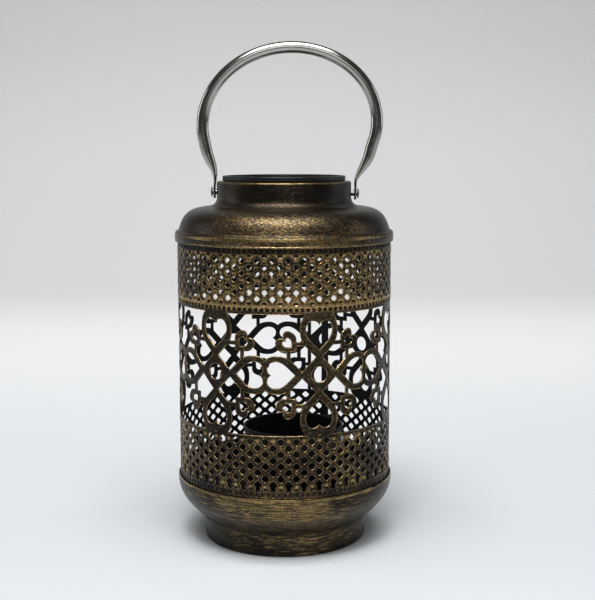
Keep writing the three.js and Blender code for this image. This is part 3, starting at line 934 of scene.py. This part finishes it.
def liner_profile():
    low, top, rim = NECK_TOP + 0.3, LINER_TOP, LINER_RIM_RADIUS
    line = [[LINER_RADIUS, 161], [LINER_RADIUS, 165], [LINER_RADIUS, low], [rim - 0.4, low]]
    line += bezier([(rim - 0.4, low), (rim, low), (rim, low + 0.4)], 3)
    line += [[rim, top - 0.6]]
    line += bezier([(rim, top - 0.6), (rim, top), (rim - 0.6, top)], 4)
    inner = LINER_RADIUS - 0.45
    line += [[inner + 0.7, top]]
    line += bezier([(inner + 0.7, top), (inner, top), (inner, top - 0.7)], 4)
    line += [[inner, 166], [inner, 161.2]]
    return line


piece_from(
    "neck_liner_ring", liner_profile(), enamel, "neck_liner", "lantern"
)


def cup_profile():
    wall = CUP_RADIUS - 0.7
    line = [[0, 0.8], [10, 0.8], [20, 0.8], [wall - 1, 0.8]]
    line += bezier([(wall - 1, 0.8), (wall, 0.8), (wall, 1.8)], 4)
    line += [[wall, 8], [wall, 20], [wall, 32], [wall, 44], [wall, CUP_TOP - 1.5]]
    turn = np.linspace(-math.pi / 2, math.pi / 2, 11)[1:]
    line += [[wall + 0.7 * math.cos(t), CUP_TOP - 0.7 + 0.7 * math.sin(t)] for t in turn]
    inner = wall - SHEET
    line += bezier([(wall, CUP_TOP), (inner, CUP_TOP), (inner, CUP_TOP - 0.8)], 4)
    line += [[inner, 44], [inner, 32], [inner, 20], [inner, 8], [inner, 2.4]]
    line += bezier([(inner, 2.4), (inner, 1.3), (inner - 1.1, 1.3)], 4)
    line += [[10, 1.3], [0, 1.3]]
    return line


piece_from(
    "candle_cup_black",
    cup_profile(),
    enamel,
    "candle_cup",
    "cup",
    CUP_OFFSET,
    CUP_SIDES,
)

# ---- Bail: a tube whose ends are flattened ----


def bail_line():
    """The tube's centre line, as x and height above the pivot."""
    steps = 20
    turn = ARCH_START - np.arange(steps + 1) / steps * (2 * ARCH_START - math.pi)
    z = ARCH_HALF_HEIGHT * np.sin(turn)
    half_width = ARCH_HALF_WIDTH + RIGHT_BULGE * np.maximum(np.cos(turn), 0)
    x = ARCH_X + ARCH_LEAN * z + half_width * np.cos(turn)
    arch = np.stack([x, ARCH_HEIGHT - PIVOT_HEIGHT + z], 1)
    p = np.array([*LEFT_END, *arch, *RIGHT_END[::-1]], float)
    p = np.vstack([2 * p[0] - p[1], p, 2 * p[-1] - p[-2]])
    line = []
    for i in range(1, len(p) - 2):
        a, b, c, d = p[i - 1 : i + 3]
        gaps = [np.linalg.norm(q - r) ** 0.5 for q, r in ((b, a), (c, b), (d, c))]
        tb = ((b - a) / gaps[0] - (c - a) / (gaps[0] + gaps[1]) + (c - b) / gaps[1]) * gaps[1]
        tc = ((c - b) / gaps[1] - (d - b) / (gaps[1] + gaps[2]) + (d - c) / gaps[2]) * gaps[1]
        last = i == len(p) - 3
        for t in np.linspace(0, 1, 9 if last else 8, endpoint=last):
            h = (2 * t**3 - 3 * t**2 + 1, t**3 - 2 * t**2 + t, -2 * t**3 + 3 * t**2, t**3 - t**2)
            line.append(h[0] * b + h[1] * tb + h[2] * c + h[3] * tc)
    return np.array(line)


def make_bail():
    """The tube along its line, flat at both ends and round above them."""
    line = bail_line()
    along = np.gradient(line, axis=0)
    along /= np.linalg.norm(along, axis=1)[:, None]
    thick = np.interp(line[:, 1], THICKNESS_HEIGHTS, HALF_THICKNESS)
    wide = np.interp(line[:, 1], [6, 12, 18], [TAB_HALF_WIDTH, 2.95, TUBE_RADIUS])
    wide = np.where(line[:, 1] < 0, np.sqrt(wide**2 - np.minimum(line[:, 1], 0) ** 2), wide)
    for _ in range(3):
        thick[1:-1] = (thick[:-2] + 2 * thick[1:-1] + thick[2:]) / 4
    sides = 40
    turn = 2 * math.pi * np.arange(sides) / sides
    vertices = []
    for (x, z), (tx, tz), t, w in zip(line, along, thick, wide):
        across = t * np.cos(turn)
        vertices += np.stack([x - tz * across, w * np.sin(turn), z + tx * across], 1).tolist()
    faces = []
    for k in range(len(line) - 1):
        for i in range(sides):
            j = (i + 1) % sides
            faces.append((k * sides + i, k * sides + j, (k + 1) * sides + j, (k + 1) * sides + i))
    faces.append(tuple(range(sides))[::-1])
    faces.append(tuple((len(line) - 1) * sides + i for i in range(sides)))
    return link("bail_handle_tube", on_pivot(vertices), faces, steel)


def bore_tabs(piece):
    """Cuts both rivet holes through the bail's flattened ends."""
    sides = 32
    turn = 2 * math.pi * np.arange(sides) / sides
    circle = RIVET_HOLE_RADIUS * np.stack([np.cos(turn), np.sin(turn)], 1)
    vertices = [(x, a, b) for x in (-BORE_REACH, BORE_REACH) for a, b in circle]
    faces = [(i, (i + 1) % sides, sides + (i + 1) % sides, sides + i) for i in range(sides)]
    faces += [tuple(range(sides))[::-1], tuple(range(sides, 2 * sides))]
    cutter = link("rivet_bore", on_pivot(vertices), faces, steel)
    holes = piece.modifiers.new("holes", "BOOLEAN")
    holes.object, holes.operation, holes.solver = cutter, "DIFFERENCE", "EXACT"
    graph = bpy.context.evaluated_depsgraph_get()
    bored = bpy.data.meshes.new_from_object(piece.evaluated_get(graph))
    piece.modifiers.clear()
    piece.data = bored
    bpy.data.objects.remove(cutter)


bail = make_bail()
bore_tabs(bail)
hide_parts("bail_handle")
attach(bail, "bail")


def make_rivet(name, side, node):
    """A rivet on the side's end of the pivot, with a head inside the neck and one outside."""
    tab = abs(LEFT_TAB_X if side < 0 else RIGHT_TAB_X)
    head = tab + TAB_HALF_THICKNESS + RIVET_TAB_GAP
    within = NECK_RADIUS - SHEET - RIVET_WALL_GAP
    shank, edge = RIVET_SHANK_RADIUS, RIVET_HEAD_RADIUS
    line = [[0, within - 0.9], [1.6, within - 0.9]]
    line += bezier([(1.6, within - 0.9), (2.3, within - 0.9), (2.3, within - 0.3)], 3)
    line += [[2.3, within], [shank, within], [shank, head], [2.0, head]]
    line += bezier([(2.0, head), (edge, head), (edge, head + 0.25)], 3)
    top = head + RIVET_HEAD_HEIGHT
    line += bezier([(edge, head + 0.25), (2.0, top), (0, top)], 8)
    vertices, faces = turned(line, 40)
    v = np.array(vertices)
    placed = np.stack([side * v[:, 2], v[:, 1], -side * v[:, 0]], 1)
    # The rivet takes the steel darkened as painted shade.
    rivet = link(name, on_pivot(placed), faces, shade_darkened_steel)
    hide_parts(node)
    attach(rivet, "lantern")
    return rivet


make_rivet("rivet_left_headed", -1, "rivet_left")
make_rivet("rivet_right_headed", 1, "rivet_right")

# ---- Floor, light and camera ----


# The floor is darker than the wall's foot and the wall darkens upwards: painted shade for how the
# light falls on the sweep.
FLOOR_NEAR = (0.56, 0.588, 0.606, 1)
WALL_LOW = (0.95, 0.95, 0.955, 1)
WALL_HIGH = (0.78, 0.775, 0.77, 1)
SWEEP_START = 0.9  # behind the object, in metres, where the floor begins to rise
SWEEP_RADIUS = 0.6


def make_stage():
    """A pale floor that sweeps up into a wall, with painted shade: darker on the floor than at the
    wall's foot, and darker up the wall.
    """
    m = Nodes("pale_floor")
    depth = m.node("ShaderNodeSeparateXYZ", {0: m.place}, 1)
    height = m.node("ShaderNodeSeparateXYZ", {0: m.place}, 2)
    # Painted shade: the wall darkens upwards.
    wall = m.mix(m.ramp(height, 0.12, 0.52), WALL_LOW, WALL_HIGH)
    m.set("Base Color", m.mix(m.ramp(depth, 0.0, 0.7), FLOOR_NEAR, wall))
    m.set("Roughness", 0.9)
    m.set("Specular IOR Level", 0.1)
    start, radius = SWEEP_START, SWEEP_RADIUS
    line = [(-4.0, 0.0), (-1.0, 0.0), (0.0, 0.0), (start, 0.0)]
    turn = np.linspace(0, math.pi / 2, 13)[1:]
    line += [(start + radius * math.sin(t), radius - radius * math.cos(t)) for t in turn]
    line += [(start + radius, 1.2), (start + radius, 2.4)]
    vertices = [(sx * 3000, py * 1000, pz * 1000) for py, pz in line for sx in (-1, 1)]
    faces = [(2 * i, 2 * i + 1, 2 * i + 3, 2 * i + 2) for i in range(len(line) - 1)]
    floor = link("pale_sweep", vertices, faces, m.material, 80)


make_stage()


def area_light(name, place, target, size, power):
    data = bpy.data.lights.new(name, "AREA")
    data.shape = "RECTANGLE"
    data.size, data.size_y = size
    data.energy = power
    lamp = bpy.data.objects.new(name, data)
    lamp.location = place
    lamp.rotation_euler = (Vector(target) - Vector(place)).to_track_quat("-Z", "Y").to_euler()
    bpy.context.scene.collection.objects.link(lamp)


area_light("overhead_softbox", (-0.03, -0.4, 1.35), (0, 0, 0.1), (1.05, 0.85), 22)
area_light("key_softbox", (-0.1, -0.6, 1.2), (0, 0, 0.1), (0.28, 0.2), 5)
area_light("front_softbox", (0.02, -1.1, 0.62), (0, 0, 0.12), (0.5, 0.6), 1.5)
area_light("left_panel", (-1.3, 0.2, 0.5), (0, 0, 0.12), (0.3, 0.8), 2.5)
area_light("right_panel", (1.3, 0.2, 0.5), (0, 0, 0.12), (0.3, 0.8), 2)


def make_world():
    world = bpy.data.worlds.new("studio")
    world.use_nodes = True
    tree = world.node_tree
    background = tree.nodes["Background"]
    background.inputs[0].default_value = (0.93, 0.96, 1.0, 1)
    background.inputs[1].default_value = 0.07
    bpy.context.scene.world = world


make_world()

# The camera looks a little down at the lantern from its front.
CAMERA_PLACE = (0, -0.5317, 0.18415)
CAMERA_LENS = 67.97
CAMERA_TILT = math.radians(82.33)
CAMERA_PAN = math.radians(-0.67)
CAMERA_ROLL = math.radians(-0.088)

camera = bpy.data.objects.new("camera", bpy.data.cameras.new("camera"))
camera.data.sensor_width = 36
camera.data.lens = CAMERA_LENS
camera.data.clip_start = 0.01
camera.location = CAMERA_PLACE
aim = Euler((CAMERA_TILT, 0, CAMERA_PAN)).to_matrix()
camera.rotation_euler = (aim @ Matrix.Rotation(CAMERA_ROLL, 3, "Z")).to_euler()
bpy.context.scene.collection.objects.link(camera)
bpy.context.scene.camera = camera
bpy.context.scene.view_settings.view_transform = "Standard"
